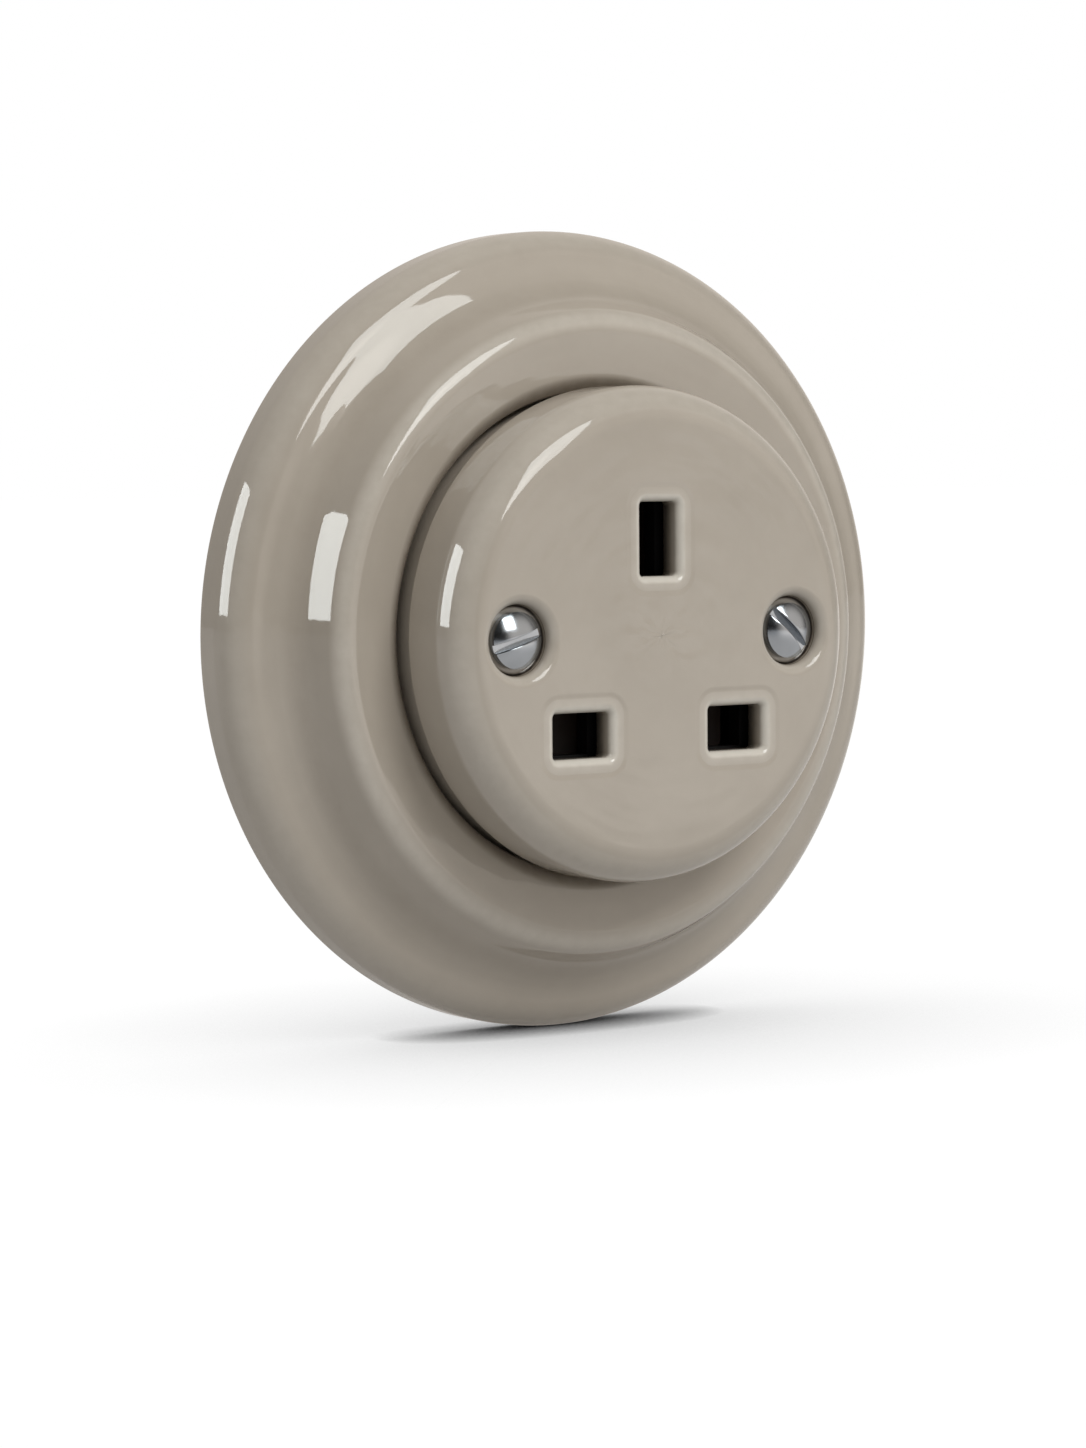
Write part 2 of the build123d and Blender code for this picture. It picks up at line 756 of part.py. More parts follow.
def terminal_screw(x, z):
    """Slotted cheese-head screw, backed off so that its tip just clears the wire hole."""
    tip = wire_height - wire_hole_radius
    head_front = tip - terminal_screw_reach
    head_rear = head_front - terminal_head_height
    with BuildPart() as screw:
        with BuildSketch(level(head_rear)):
            with Locations((x, z)):
                Circle(terminal_head_radius)
        extrude(amount=terminal_head_height)
        with BuildSketch(level(head_front)):
            with Locations((x, z)):
                Circle(screw_radius)
        extrude(amount=terminal_screw_reach)
        with BuildSketch(level(head_rear)):
            with Locations((x, z)):
                Rectangle(3 * terminal_head_radius, terminal_slot_width)
        extrude(amount=terminal_slot_depth, mode=Mode.SUBTRACT)
    return screw


neutral_terminal_screw = terminal_screw(*terminal_places[0])
neutral_terminal_screw.part.label = "neutral_terminal_screw"
line_terminal_screw = terminal_screw(*terminal_places[1])
line_terminal_screw.part.label = "line_terminal_screw"
earth_terminal_screw = terminal_screw(*terminal_places[2])
earth_terminal_screw.part.label = "earth_terminal_screw"

# Earth strap: bent strip from the earth terminal to the ring
strap_height = ring_thickness + sheet / 2

with BuildPart() as earth_strap:
    with BuildSketch(side_section()):
        with BuildLine():
            FilletPolyline(
                (strap_end_z, strap_height),
                (strap_drop_z, strap_height),
                (strap_drop_z, terminal_ceiling - sheet / 2),
                (strap_foot_z, terminal_ceiling - sheet / 2),
                radius=bend_radius,
            )
        trace(line_width=sheet)
    extrude(amount=strap_width / 2, both=True)
    with BuildSketch(level(0)):
        with Locations((0, strap_rivet_z)):
            Circle(strap_rivet_radius)
    extrude(amount=2 * strap_height, mode=Mode.SUBTRACT)
earth_strap.part.label = "earth_strap"


def rivet_solids(places, shank_radius, head, grip):
    """Rivets through a grip that starts at the ring's back, headed at both ends."""
    with BuildPart() as rivets:
        with BuildSketch(level(0)):
            with Locations(*places):
                Circle(shank_radius)
        extrude(amount=grip)
        with BuildSketch(level(grip)):
            with Locations(*places):
                Circle(head)
        extrude(amount=rivet_head_height)
        with BuildSketch(level(0)):
            with Locations(*places):
                Circle(head)
        extrude(amount=-rivet_head_height)
    return rivets


base_rivets = rivet_solids(rivet_places, rivet_radius, rivet_head_radius, rivet_seat_height)
base_rivets.part.label = "base_rivets"
strap_rivet_place = [(0, strap_rivet_z)]
strap_rivet = rivet_solids(strap_rivet_place, strap_rivet_radius, strap_rivet_head, ring_thickness + sheet)
strap_rivet.part.label = "strap_rivet"

# Housing screws: cheese heads in the housing, shanks down into the base
with BuildPart() as housing_screws:
    head_seat = housing_top - housing_head_height
    with BuildSketch(level(head_seat)):
        with Locations(*housing_screw_places):
            Circle(housing_head_radius)
    extrude(amount=housing_head_height)
    with BuildSketch(level(housing_screw_end)):
        with Locations(*housing_screw_places):
            Circle(housing_screw_radius)
    extrude(amount=head_seat - housing_screw_end)
    with BuildSketch(level(housing_top)):
        with Locations(*housing_screw_places):
            Rectangle(3 * housing_head_radius, terminal_slot_width)
    extrude(amount=-terminal_slot_depth, mode=Mode.SUBTRACT)
housing_screws.part.label = "housing_screws"

sub_parts = [
    frame_ring,
    cover,
    cover_screw_left,
    cover_screw_right,
    mounting_ring,
    screw_pillar_left,
    screw_pillar_right,
    socket_base,
    shutter_housing,
    shutter,
    shutter_spring,
    line_contact,
    neutral_contact,
    earth_contact,
    line_terminal,
    neutral_terminal,
    earth_terminal,
    line_terminal_screw,
    neutral_terminal_screw,
    earth_terminal_screw,
    earth_strap,
    strap_rivet,
    base_rivets,
    housing_screws,
]
os.makedirs("parts", exist_ok=True)
for sub_part in sub_parts:
    export_step(sub_part.part, f"parts/{sub_part.part.label}.step")
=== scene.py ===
import json
import math

import bpy
import numpy as np
from mathutils import Matrix, Vector
from mathutils.geometry import delaunay_2d_cdt


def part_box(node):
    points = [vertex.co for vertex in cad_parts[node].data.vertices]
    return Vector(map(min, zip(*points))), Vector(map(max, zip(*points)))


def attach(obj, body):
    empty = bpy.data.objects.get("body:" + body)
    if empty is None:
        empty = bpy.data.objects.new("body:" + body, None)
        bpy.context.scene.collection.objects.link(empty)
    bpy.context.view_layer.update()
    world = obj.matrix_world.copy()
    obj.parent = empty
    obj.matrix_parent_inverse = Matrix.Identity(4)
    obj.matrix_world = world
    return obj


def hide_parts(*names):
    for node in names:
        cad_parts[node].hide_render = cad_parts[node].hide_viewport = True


# Porcelain wall socket: the wall is the plane y = 0, the socket faces -Y, and a height is measured out
# from the wall. Sizes are in millimetres and become metres where a mesh is made.
MM = 0.001

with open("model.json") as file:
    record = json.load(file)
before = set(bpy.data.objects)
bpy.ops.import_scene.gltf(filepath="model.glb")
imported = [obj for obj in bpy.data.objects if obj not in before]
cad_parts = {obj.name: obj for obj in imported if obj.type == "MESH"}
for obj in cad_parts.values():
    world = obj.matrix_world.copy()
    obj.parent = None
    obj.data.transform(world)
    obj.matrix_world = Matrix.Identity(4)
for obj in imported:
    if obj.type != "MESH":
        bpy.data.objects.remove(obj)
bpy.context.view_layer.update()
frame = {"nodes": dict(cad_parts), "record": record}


def node_span(node, axis):
    """Lowest and highest place of a CAD node along an axis (0 x, 1 y, 2 z), in millimetres."""
    low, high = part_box(node)
    return low[axis] / MM, high[axis] / MM


# Sizes read from the frame
frame_radius = node_span("frame_ring", 0)[1]
band_height = -node_span("frame_ring", 1)[0]
cover_radius = node_span("cover", 0)[1]
cover_height = -node_span("cover", 1)[0]
screw_x = sum(node_span("cover_screw_right", 0)) / 2
head_radius = node_span("cover_screw_right", 0)[1] - screw_x
head_top = -node_span("cover_screw_right", 1)[0]
shank_end = -node_span("cover_screw_right", 1)[1]

# Frame ring, as steps inward from the rim
rim_height = 6.2
rim_rounding = 4.0
slope_width = 4.45
slope_rise = 1.0
inner_slope_width = 3.25
inner_slope_rise = 1.4
slope_blend_radius = 10
cove_radius = 5.6
flank_width = 2.5
shoulder_rounding = 2.9
band_dish = 1.0
well_radius = 28.2
well_edge_rounding = 2.4
frame_hole_radius = 25.2
shelf_height = 8.5
shelf_thickness = 4.2
hollow_lean = 1.0
hollow_step = 1.9
hollow_rounding = 0.8
foot_width = 5.0
foot_rounding = 0.5
hole_rounding = 0.4

# Cover
cover_rounding = 4.3
cover_plate = 3.1
cover_inner_radius = 24.6
cover_inner_rounding = 2.2
ceiling_hole_radius = 2.6
cover_rim_height = 14.9
skirt_radius = 27.7
skirt_foot_rounding = 0.6
cover_lip_rounding = 0.4
fine_rounding = 0.3
cover_ceiling = cover_height - cover_plate
face_radius = cover_radius - cover_rounding
pin_half = 11.1
slot_corner = 0.5
slot_edge_rounding = 0.95
apertures = {
    "earth": (0, pin_half, 5.3, 8.53),
    "neutral": (-pin_half, -pin_half, 7.96, 5.21),
    "line": (pin_half, -pin_half, 7.96, 5.21),
}
halo_outer = 2.4
halo_inner = 1.65
halo_depth = 0.06
slot_wall_step = 0.5
halo_steps = 9
slot_edge_steps = 14
slot_corner_steps = 9

# Cover screws and their recesses
recess_radius = 4.1
recess_edge_rounding = 1.3
recess_floor_height = 22.4
recess_floor_rounding = 0.5
screw_hole_radius = 2.1
boss_top_radius = 5.4
boss_root = 0.5
boss_end_radius = 4.2
boss_end_height = 17.3
boss_end_rounding = 0.4
recess_wall_height = 0.6
recess_wall_lean = 0.02
recess_margin = 0.1
head_edge = 1.0
head_slot_width = 0.95
head_slot_depth = 1.3
head_slot_edge = 0.14
screw_slot_angles = {"left": 17, "right": -44}
head_underside_chamfer = 0.12
shank_radius = 1.75
plain_shank = 0.8
thread_pitch = 0.6
thread_depth = 0.3
thread_runout = 0.6
tip_start = 0.9
tip_edge = 0.35
tip_radii = (1.15, 0.8, 0.0)
head_slot_steps = 5
land_steps = 22
chord_steps = 49
thread_steps = 280
screw_sharp_angle = 32

# How the glaze lies at an edge or in a corner, with painted light in it: 1 breaks pale and also paints a
# highlight on the rounding, -1 pools and also paints shade in hollows, under the cover and in slots, -2 is
# painted shade in a gap
# Pale edge values: the glaze breaking thin over the edge, and a painted highlight on its rounding
pale_rim = 0.3
pale_shoulder = 0.42
pale_cover_edge = 0.35
pale_cover_lip = 0.4
pale_recess_edge = 0.35
pale_ring_round_slot = 0.2
pale_slot_edge = 0.35
pale_slot_edge_rise = 0.65
settled_glaze = -0.1
# Dark values: pooled glaze darkened further as painted shade in the cove, at the band's edge and in the well
# under the cover; the skirt under the rim, the slot walls and the gaps are painted shade
pooled_and_shaded_cove = -0.25
pooled_and_shaded_band = -0.85
pooled_and_shaded_well = -0.9
shaded_skirt = -1.3
shaded_slot_wall = (-0.3, -1)
painted_gap_shade = -2

# Points along the surfaces
turn_steps = 384
boss_turn_steps = 96
arc_steps = 12
sheet_steps = 3
sheet_clearance = 0.2


def rounded_outline(corners):
    """Profile through corners (radius, height, rounding, glaze), each corner's arc touching both its sides.

    The centre of an arc of radius r lies r / sin(half the corner's angle) from the corner along its
    bisector, and its points are centre + r * (direction swept evenly from one side's normal to the other's).
    The glaze value, how far the glaze breaks pale over the corner with a painted highlight, or pools in it
    with painted shade, rises and falls along the arc as the sine of pi times the share swept.

    Returns points, outward normals and glaze values, for an outline that runs clockwise round its solid.
    """
    places = np.array([corner[:2] for corner in corners], float)
    towards_last = np.roll(places, 1, axis=0) - places
    towards_next = np.roll(places, -1, axis=0) - places
    towards_last /= np.linalg.norm(towards_last, axis=1)[:, None]
    towards_next /= np.linalg.norm(towards_next, axis=1)[:, None]
    points, normals, glaze_values = [], [], []
    for place, last, following, corner in zip(places, towards_last, towards_next, corners):
        half = math.acos(np.clip(last @ following, -1, 1)) / 2
        bisector = (last + following) / np.linalg.norm(last + following)
        centre = place + bisector * corner[2] / math.sin(half)
        side_in = np.array([last[1], -last[0]])
        side_out = np.array([-following[1], following[0]])
        turn = math.atan2(side_in[0] * side_out[1] - side_in[1] * side_out[0], side_in @ side_out)
        start = math.atan2(side_in[1], side_in[0])
        swept = np.linspace(0, 1, max(5, math.ceil(abs(turn) / math.pi * 2 * arc_steps) + 1))
        if corner[2] == 0:
            swept = np.array([0.5])
        angles = start + turn * swept
        normal = np.stack([np.cos(angles), np.sin(angles)], axis=1)
        points.append(centre + normal * corner[2] * (-1 if turn > 0 else 1))
        normals.append(normal)
        glaze_values.append(corner[3] * np.sin(math.pi * swept))
    return np.concatenate(points), np.concatenate(normals), np.concatenate(glaze_values)


def placed(across, up, height):
    """Points of the part from a place across the wall, a place up it and a height out of it, in metres."""
    return np.stack([across, -height, up], axis=-1) * MM


def facing(across, up, height):
    """Normals with the same three directions as placed points."""
    return np.stack([across, -height, up], axis=-1)


def turned(profile, x=0, angles=None, closed=True):
    """Surface of revolution about the line square to the wall through (x, 0).

    Point (i, j) is profile point j, at radius r and height h, turned to angle i:
    (x + r cos a, r sin a, h). Returns points, normals, faces and glaze values.
    """
    outline, normals, glaze_values = profile
    if angles is None:
        angles = np.arange(turn_steps) * (2 * math.pi / turn_steps)
    c, s = np.cos(angles)[:, None], np.sin(angles)[:, None]
    r, h = outline[:, 0][None], outline[:, 1][None]
    points = placed(x + r * c, r * s, h + 0 * c)
    normal = facing(normals[:, 0][None] * c, normals[:, 0][None] * s, normals[:, 1][None] + 0 * c)
    return points, normal, grid_faces(*points.shape[:2], True, closed), glaze_values[None]


def grid_faces(rows, columns, wrap_rows, wrap_columns):
    """Quads of a grid of points, numbered row by row, joined round where it wraps."""
    i = np.arange(rows if wrap_rows else rows - 1)[:, None]
    j = np.arange(columns if wrap_columns else columns - 1)[None]
    i_next, j_next = (i + 1) % rows, (j + 1) % columns
    corners = [i * columns + j, i * columns + j_next, i_next * columns + j_next, i_next * columns + j]
    return np.stack(np.broadcast_arrays(*corners), axis=-1).reshape(-1, 4)


def contour(place, offset):
    """Outline of a slot pushed outward by an offset: straights and quarter circles of corner + offset.

    Returns the outline's points across and up the wall, and the outward directions there, as arrays over
    (point round the slot, offset).
    """
    x, z, width, depth = place
    quarter = np.linspace(0, math.pi / 2, slot_corner_steps)
    angles = (np.arange(4)[:, None] * math.pi / 2 + quarter).reshape(-1)
    out = np.stack([np.cos(angles), np.sin(angles)], axis=1)
    side = np.repeat([[1, 1], [-1, 1], [-1, -1], [1, -1]], quarter.size, axis=0)
    half = np.array([width / 2 - slot_corner, depth / 2 - slot_corner])
    centre = np.array([x, z]) + side * half
    offset = np.atleast_1d(offset)
    points = centre[:, None] + out[:, None] * (slot_corner + offset)[None, :, None]
    return points, np.broadcast_to(out[:, None], points.shape)


class Surface:
    """Patches of points, normals, faces and glaze values, welded where their points meet."""

    def __init__(self):
        self.patches, self.count = [], 0

    def add(self, points, normals, faces, glaze_values=0.0, flip=False):
        """Adds a patch of quads or triangles. Triangles repeat their last corner."""
        faces = np.asarray(faces)
        if faces.shape[1] == 3:
            faces = faces[:, [0, 1, 2, 2]]
        if flip:
            faces = faces[:, ::-1]
        glaze_values = np.broadcast_to(glaze_values, points.shape[:-1])
        patch = (points.reshape(-1, 3), normals.reshape(-1, 3), faces + self.count, glaze_values.reshape(-1))
        self.patches.append(patch)
        self.count += len(patch[0])

    def make(self, name, sharp_angle=None):
        """Welds points within a tenth of a micrometre and drops the faces and corners that this closes up.

        The mesh gets the exact normals. With a sharp angle, in degrees, they come from the faces instead,
        split where faces meet sharper.
        """
        points, normals, faces, glaze_values = (np.concatenate(part) for part in zip(*self.patches))
        places = np.round(points / (0.0001 * MM)).astype(np.int64)
        _, first, same = np.unique(places, axis=0, return_index=True, return_inverse=True)
        summed = np.zeros((len(first), 3))
        np.add.at(summed, same.reshape(-1), normals)
        faces = same.reshape(-1)[faces]
        kept = faces != np.roll(faces, 1, axis=1)
        whole = faces[kept.sum(axis=1) == 4]
        narrowed = kept.sum(axis=1) == 3
        triangles = faces[narrowed][kept[narrowed]].reshape(-1, 3)
        mesh = bpy.data.meshes.new(name)
        mesh.from_pydata(points[first].tolist(), [], whole.tolist() + triangles.tolist())
        mesh.shade_smooth()
        # Per-point glaze value: glaze break with painted highlight on edges, pooled glaze with painted shade
        # in hollows and gaps
        mesh.attributes.new("glaze_break_and_painted_light", "FLOAT", "POINT").data.foreach_set("value", glaze_values[first])
        if sharp_angle is None:
            lengths = np.linalg.norm(summed, axis=1)[:, None]
            mesh.normals_split_custom_set_from_vertices((summed / np.maximum(lengths, 1e-9)).tolist())
        else:
            mesh.set_sharp_from_angle(angle=math.radians(sharp_angle))
        piece = bpy.data.objects.new(name, mesh)
        bpy.context.scene.collection.objects.link(piece)
        return piece


def cut_sheet(outer, holes, inner_points):
    """Sheet between an outer loop and holes, as triangles over their points and the points between them.

    Loops and points are (across, up). Returns all the points and the triangles, by constrained Delaunay.
    """
    loops = [outer, *holes]
    points = np.concatenate([*loops, inner_points])
    starts = np.cumsum([0] + [len(loop) for loop in loops])
    rings = [list(range(start, end)) for start, end in zip(starts[:-1], starts[1:])]
    edges = [edge for ring in rings for edge in zip(ring, ring[1:] + ring[:1])]
    made = delaunay_2d_cdt([Vector(point) for point in points.tolist()], edges, rings, 1, 1e-7, True)
    given = np.array([own[0] for own in made[3]])
    inside = [face for face, loops_round_it in zip(made[2], made[5]) if list(loops_round_it) == [0]]
    return points, given[np.array(inside)]


# Frame ring
def glazed_frame_ring():
    """Turned ring: rounded rim, bowed slope, cove, leaning flank, dished band, well, shelf, hollow back."""
    bend_radius = frame_radius - slope_width
    valley_radius = bend_radius - inner_slope_width
    shoulder = valley_radius - flank_width
    underside = shelf_height - shelf_thickness
    foot_inner = frame_radius - foot_width
    # Glaze values: the rim and shoulder are pale as glaze break and painted highlight; the cove, the band's
    # edge and the well are pooled glaze darkened further as painted shade near the cover
    corners = [
        (frame_radius, 0, foot_rounding, pale_rim),
        (foot_inner, 0, foot_rounding, pale_rim),
        (foot_inner - hollow_lean, underside - hollow_step, hollow_rounding, 0),
        (shoulder - hollow_lean, underside, hollow_rounding, 0),
        (frame_hole_radius, underside, hole_rounding, 0),
        (frame_hole_radius, shelf_height, hole_rounding, 0),
        (well_radius, shelf_height, fine_rounding, pooled_and_shaded_well),
        (well_radius, band_height - band_dish, well_edge_rounding, pooled_and_shaded_band),
        (shoulder, band_height, shoulder_rounding, pale_shoulder),
        (valley_radius, rim_height + slope_rise + inner_slope_rise, cove_radius, pooled_and_shaded_cove),
        (bend_radius, rim_height + slope_rise, slope_blend_radius, 0),
        (frame_radius, rim_height, rim_rounding, pale_rim),
    ]
    surface = Surface()
    surface.add(*turned(rounded_outline(corners)))
    return surface.make("glazed_frame_ring")


def slot_patch(place):
    """Edge of a pin slot: glaze that settles towards it, a rounded edge and a wall to the plate's back.

    Between the offsets halo_outer and halo_inner from the wall the face sinks by
    halo_depth * s * s * (3 - 2 s), with s running from 0 to 1; the edge is a quarter circle of
    slot_edge_rounding.
    """
    s = np.linspace(0, 1, halo_steps)
    halo_offset = halo_outer + (halo_inner - halo_outer) * s
    halo_drop = halo_depth * s * s * (3 - 2 * s)
    halo_tilt = np.arctan(halo_depth * 6 * s * (1 - s) / (halo_outer - halo_inner))
    turn = np.linspace(0, math.pi / 2, slot_edge_steps)
    edge_offset = slot_edge_rounding * (1 - np.sin(turn))
    edge_drop = halo_depth + slot_edge_rounding * (1 - np.cos(turn))
    offset = np.concatenate([halo_offset, edge_offset, [0, 0]])
    drop = np.concatenate([halo_drop, edge_drop, [slot_edge_rounding + slot_wall_step, cover_plate]])
    tilt = np.concatenate([halo_tilt, turn, [math.pi / 2, math.pi / 2]])
    # Glaze values: the halo settles a little darker; the edge is pale, most in the middle of its rounding,
    # as glaze break and painted highlight; the wall darkens towards the plate's back as painted shade inside
    # the slot
    settled = settled_glaze * np.sin(math.pi * s)
    settled[-1] = pale_ring_round_slot
    edge = pale_slot_edge + pale_slot_edge_rise * np.sin(2 * turn)
    glaze_values = np.concatenate([settled, edge, shaded_slot_wall])
    points, out = contour(place, offset)
    height = cover_height - drop[None] + 0 * points[..., 0]
    lean, front = np.sin(tilt)[None], np.cos(tilt)[None]
    normals = facing(-out[..., 0] * lean, -out[..., 1] * lean, front + 0 * height)
    faces = grid_faces(*height.shape, True, False)
    return placed(points[..., 0], points[..., 1], height), normals, faces, glaze_values[None]


def boss_and_recess_corners():
    """Corners of a boss and its screw recess, from inside the plate, down the boss and up to the face."""
    return [
        (ceiling_hole_radius, cover_ceiling, 0.0, 0),
        (boss_top_radius, cover_ceiling + boss_root, 0.0, 0),
        (boss_end_radius, boss_end_height, boss_end_rounding, 0),
        (screw_hole_radius, boss_end_height, fine_rounding, 0),
        (screw_hole_radius, recess_floor_height, fine_rounding, 0),
        # The recess floor's corner and wall carry painted shade, the dark of a gap; its edge is pale as
        # glaze break and painted highlight
        (recess_radius, recess_floor_height, recess_floor_rounding, painted_gap_shade),
        (recess_radius - recess_wall_lean, recess_floor_height + recess_wall_height, 0.0, painted_gap_shade),
        (recess_radius, cover_height, recess_edge_rounding, pale_recess_edge),
        (recess_radius + recess_edge_rounding + recess_margin, cover_height, 0.0, 0),
    ]


def open_outline(corners):
    """Profile as rounded_outline gives it, for corners that don't close and whose ends aren't rounded."""
    points, normals, glaze_values = rounded_outline(corners)
    normals[0], normals[-1] = normals[1], normals[-2]
    return points, normals, glaze_values


def rim_fall(across, up):
    """How far the cover's front lies below its flat face at a place, and its slope there, across and up.

    With b the distance past the face's edge and c the rounding's radius, the fall is
    c - sqrt(c * c - b * b) and the slope b / sqrt(c * c - b * b), outward from the middle.
    """
    distance = np.maximum(np.hypot(across, up), 1e-6)
    beyond = np.clip(distance - face_radius, 0, 0.9 * cover_rounding)
    rise = np.sqrt(cover_rounding**2 - beyond**2)
    return cover_rounding - rise, beyond / rise * across / distance, beyond / rise * up / distance


def boss_and_recess(side):
    """Turned boss with its screw recess, whose edge sinks with the cover's rim where it reaches that."""
    turns = np.arange(boss_turn_steps) * (2 * math.pi / boss_turn_steps)
    profile = open_outline(boss_and_recess_corners())
    points, normals, faces, glaze_values = turned(profile, side * screw_x, turns, False)
    fall, slope_across, slope_up = rim_fall(points[..., 0] / MM, points[..., 2] / MM)
    at_front = -points[..., 1] / MM > recess_floor_height + recess_floor_rounding
    points[..., 1] += np.where(at_front, fall * MM, 0)
    facing_front = np.where(at_front, -normals[..., 1], 0)
    normals[..., 0] += facing_front * slope_across
    normals[..., 2] += facing_front * slope_up
    return points, normals, faces, glaze_values


def glazed_cover():
    """Pressed cup: disc with slots and screw recesses, rounded rim over the band, skirt and bosses.

    The front sheet reaches sheet_steps of the rim's arc steps past the flat face, to take in the recesses,
    and falls with the rim there.
    """
    surface = Surface()
    ceiling_radius = cover_inner_radius - cover_inner_rounding
    angles = np.arange(turn_steps) * (2 * math.pi / turn_steps)
    circle = np.stack([np.cos(angles), np.sin(angles)], axis=1)
    # Glaze values: the cover's edge and lip are pale as glaze break and painted highlight; the skirt under
    # the rim is painted shade
    shell = [
        (0, cover_height, 0, 0),
        (cover_radius, cover_height, cover_rounding, pale_cover_edge),
        (cover_radius, cover_rim_height, fine_rounding, pale_cover_lip),
        (skirt_radius, cover_rim_height, fine_rounding, shaded_skirt),
        (skirt_radius, shelf_height, skirt_foot_rounding, shaded_skirt),
        (cover_inner_radius, shelf_height, cover_lip_rounding, 0),
        (cover_inner_radius, cover_ceiling, cover_inner_rounding, 0),
        (0, cover_ceiling, 0, 0),
    ]
    outline = [part[1:-1] for part in open_outline(shell)]
    surface.add(*turned([part[sheet_steps:] for part in outline], closed=False))
    for side in (-1, 1):
        surface.add(*boss_and_recess(side))
    for place in apertures.values():
        surface.add(*slot_patch(place), flip=True)

    turns = np.arange(boss_turn_steps) * (2 * math.pi / boss_turn_steps)
    boss_circle = np.stack([np.cos(turns), np.sin(turns)], axis=1)
    bosses = [np.array([side * screw_x, 0]) for side in (-1, 1)]
    recess_reach = boss_and_recess_corners()[-1][0]
    front_holes = [contour(place, halo_outer)[0][:, 0] for place in apertures.values()]
    front_holes += [boss + boss_circle * recess_reach for boss in bosses]
    rings = np.concatenate([circle * radius for radius in outline[0][:sheet_steps, 0]])
    clear_radius = recess_reach + sheet_clearance
    clear = [np.linalg.norm(rings - boss, axis=1) > clear_radius for boss in bosses]
    rim = circle * outline[0][sheet_steps, 0]
    front, front_faces = cut_sheet(rim, front_holes, rings[np.all(clear, axis=0)])
    fall, slope_across, slope_up = rim_fall(*front.T)
    tilt = facing(slope_across, slope_up, np.ones(len(front)))
    surface.add(placed(*front.T, cover_height - fall), tilt, front_faces)
    back_holes = [contour(place, 0)[0][:, 0] for place in apertures.values()]
    back_holes += [boss + boss_circle * ceiling_hole_radius for boss in bosses]
    back, back_faces = cut_sheet(circle * ceiling_radius, back_holes, back_holes[0][:0])
    inward = np.broadcast_to([0.0, 1.0, 0.0], (len(back), 3))
    surface.add(placed(*back.T, np.full(len(back), cover_ceiling)), inward, back_faces, flip=True)
    return surface.make("glazed_cover")


# Cover screws
def slotted_head(x, slot_angle):
    """Raised head as a grid over (place across the slot u, share t of the chord there).

    Its height is that of a ball of radius (r * r + d * d) / (2 d) at u and v = t * sqrt(r * r - u * u), for
    a head of radius r and dome d, and no more than the slot's floor where u lies in the slot. Columns repeat
    at the slot's walls, and quarter circles round their tops. Returns points, normals, faces, and the angles
    and heights of the rim.
    """
    turn = np.linspace(0, math.pi / 2, head_slot_steps)
    half_slot = head_slot_width / 2
    wall = half_slot + head_slot_edge * (1 - np.sin(turn))
    wall_drop = head_slot_edge * (1 - np.cos(turn))
    land_share = np.linspace(0, 1, land_steps)[:-1] ** 0.8
    land = -head_radius * np.cos(land_share * math.acos(wall[0] / head_radius))
    floor = np.linspace(-half_slot, half_slot, head_slot_steps)
    u = np.concatenate([land, -wall, floor, wall[::-1], -land[::-1]])[:, None]
    drop = np.concatenate([0 * land, wall_drop, 0 * floor, wall_drop[::-1], 0 * land])[:, None]
    beside = land.size + wall.size
    in_slot = np.repeat([False, True, False], [beside, floor.size, beside])[:, None]
    t = np.sin(np.linspace(-math.pi / 2, math.pi / 2, chord_steps))[None]
    v = t * np.sqrt(np.maximum(head_radius**2 - u**2, 0))
    dome = head_top - recess_floor_height - head_edge
    ball = (head_radius**2 + dome**2) / (2 * dome)
    height = head_top - ball + np.sqrt(ball**2 - np.minimum(u**2 + v**2, head_radius**2))
    slot_floor = np.minimum(height, head_top - head_slot_depth)
    height = np.where(in_slot, slot_floor, np.maximum(height - drop, slot_floor))
    c, s = math.cos(slot_angle), math.sin(slot_angle)
    points = placed(x + v * c - u * s, v * s + u * c, height)
    rim = np.arcsin(np.clip(u[:, 0] / head_radius, -1, 1))
    rim = np.concatenate([rim, math.pi - rim[::-1]]) + slot_angle
    rim_heights = np.concatenate([height[:, -1], height[::-1, 0]])
    return points, np.zeros_like(points), grid_faces(*height.shape, False, False), rim, rim_heights


def threaded_shank(x, angles):
    """Shank with a blunt tip, of radius r(angle, height) = shank - depth * (1 - cos(turns)) / 2.

    The turns are 2 pi height / pitch - angle, and the depth fades in below the plain part.
    """
    height = np.linspace(recess_floor_height, shank_end + tip_start, thread_steps)
    deep = np.clip((recess_floor_height - plain_shank - height) / thread_runout, 0, 1)[None]
    wave = 1 - np.cos(2 * math.pi * height[None] / thread_pitch - angles[:, None])
    radius = shank_radius - thread_depth * deep * wave / 2
    tip_height = np.array([shank_end + tip_edge, shank_end, shank_end])
    tip_radius = np.broadcast_to(tip_radii, (angles.size, 3))
    radius = np.concatenate([radius, tip_radius], axis=1)
    height = np.concatenate([height, tip_height])[None] + 0 * radius
    c, s = np.cos(angles)[:, None], np.sin(angles)[:, None]
    points = placed(x + radius * c, radius * s, height)
    return points, np.zeros_like(points), grid_faces(*radius.shape, True, False)


